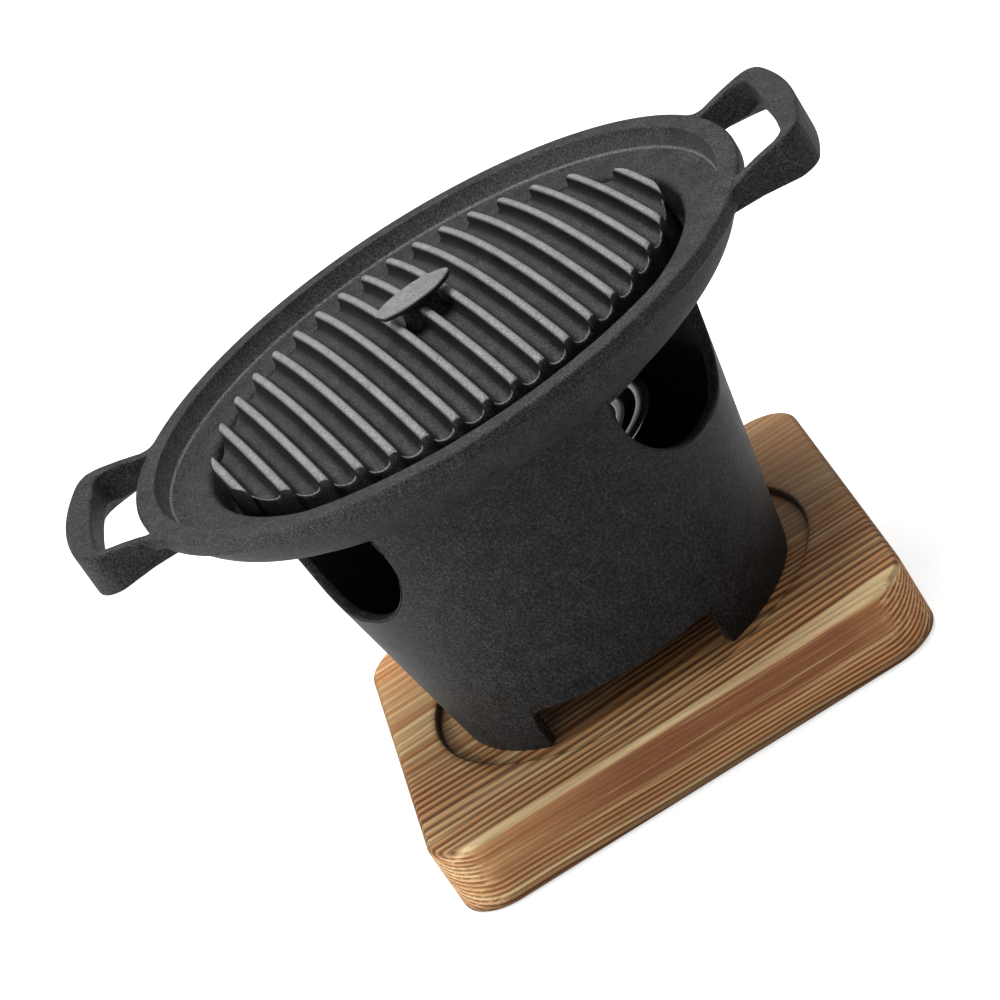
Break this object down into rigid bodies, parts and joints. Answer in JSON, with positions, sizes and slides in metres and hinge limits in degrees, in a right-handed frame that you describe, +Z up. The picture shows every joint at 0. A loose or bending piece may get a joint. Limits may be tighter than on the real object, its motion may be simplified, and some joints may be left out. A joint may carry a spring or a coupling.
{
  "type": "portable barbecue grill",
  "caption": "Small round table-top barbecue: cast stove with side vents on a wood board, spirit burner inside, loop-handled pan and lift-out ribbed grill.",
  "frame": {"origin": "middle of the pan's footprint, at the underside of the wood board", "axes": "+Z up, +X through the two loop handles, -Y towards the side of the stove that shows one foot arch in the middle"},
  "size_m": [0.2646, 0.218, 0.1563],
  "materials": {
    "wood": "charred and brushed softwood",
    "coated_cast": "black textured non-stick coat on cast metal",
    "tray_steel": "satin",
    "polished_steel": "polished",
    "wadding": "mineral fibre"
  },
  "bodies": {
    "base": {"wood_base": "wood"},
    "stove": {"stove_body": "coated_cast", "burner_tray": "tray_steel"},
    "burner": {"burner_cup": "polished_steel", "fuel_cup": "polished_steel", "fuel_wadding": "wadding"},
    "pan": {"roasting_pan": "coated_cast"},
    "grill": {"grill_insert": "coated_cast"}
  },
  "joints": [
    {"name": "stove_lift", "type": "slide", "parent": "base", "child": "stove", "axis": [0, 0, 1], "range_m": [0, 0.03]},
    {"name": "burner_lift", "type": "slide", "parent": "stove", "child": "burner", "axis": [0, 0, 1], "range_m": [0, 0.025]},
    {"name": "pan_lift", "type": "slide", "parent": "stove", "child": "pan", "axis": [0, 0, 1], "range_m": [0, 0.06]},
    {"name": "grill_lift", "type": "slide", "parent": "pan", "child": "grill", "axis": [0, 0, 1], "range_m": [0, 0.03]}
  ]
}
